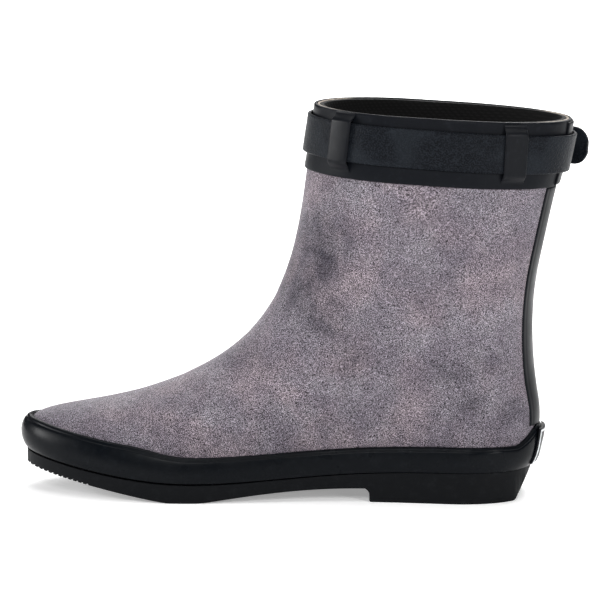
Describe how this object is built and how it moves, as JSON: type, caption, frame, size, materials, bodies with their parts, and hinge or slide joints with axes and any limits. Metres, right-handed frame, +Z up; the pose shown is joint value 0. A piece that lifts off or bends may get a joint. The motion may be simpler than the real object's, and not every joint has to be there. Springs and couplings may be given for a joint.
{
  "type": "ankle deck boot",
  "caption": "Ankle-high deck boot with a napped fabric upper, rubber foxing and sole, and a buckled strap around a rubber collar.",
  "frame": {"origin": "centre of the boot's box, on the ground under the sole", "axes": "+X towards the heel, -X towards the toe, +Y towards the outer (lateral) side, +Z up"},
  "size_m": [0.2927, 0.0974, 0.2022],
  "materials": {
    "outsole_rubber": "moulded, satin",
    "foxing_rubber": "moulded, semi-gloss",
    "collar_rubber": "satin",
    "nap_fabric": "grey-mauve microsuede, napped",
    "lining_fabric": "black knit",
    "footbed_foam": "fabric-topped foam",
    "board": "pressed fibre",
    "filler_foam": "granular foam",
    "spring_steel": "plain strip",
    "stiffener": "thermoplastic sheet",
    "tape_fabric": "pale woven tape",
    "strap_leather": "black fine grain",
    "trim_rubber": "smooth, satin",
    "buckle_metal": "polished"
  },
  "bodies": {
    "boot": {"outsole": "outsole_rubber", "heel_filler": "filler_foam", "shank": "spring_steel", "forepart_filler": "filler_foam", "insole_board": "board", "footbed": "footbed_foam", "upper": "nap_fabric", "lining": "lining_fabric", "toe_puff": "stiffener", "heel_counter": "stiffener", "topline_tape": "tape_fabric", "foxing_band": "foxing_rubber", "collar_band": "collar_rubber", "collar_back_strip": "trim_rubber", "back_strip": "trim_rubber", "heel_label": "trim_rubber", "loop_front_medial": "trim_rubber", "loop_rear_medial": "trim_rubber", "loop_front_lateral": "trim_rubber", "loop_rear_lateral": "trim_rubber", "strap": "strap_leather"},
    "buckle": {"buckle_frame": "buckle_metal"},
    "prong": {"buckle_prong": "buckle_metal"},
    "keeper": {"strap_keeper": "strap_leather"}
  },
  "joints": [
    {"name": "buckle_lift", "type": "hinge", "parent": "boot", "child": "buckle", "pos_m": [0.08045, 0.04263, 0.18294], "axis": [-0.063, 0.0777, -0.995], "range_deg": [0, 5]},
    {"name": "prong_lift", "type": "hinge", "parent": "buckle", "child": "prong", "pos_m": [0.08045, 0.04263, 0.18294], "axis": [-0.063, 0.0777, -0.995], "range_deg": [0, 12]},
    {"name": "keeper_slide", "type": "slide", "parent": "boot", "child": "keeper", "axis": [0.9697, -0.2368, -0.0599], "range_m": [-0.002, 0.002]}
  ]
}
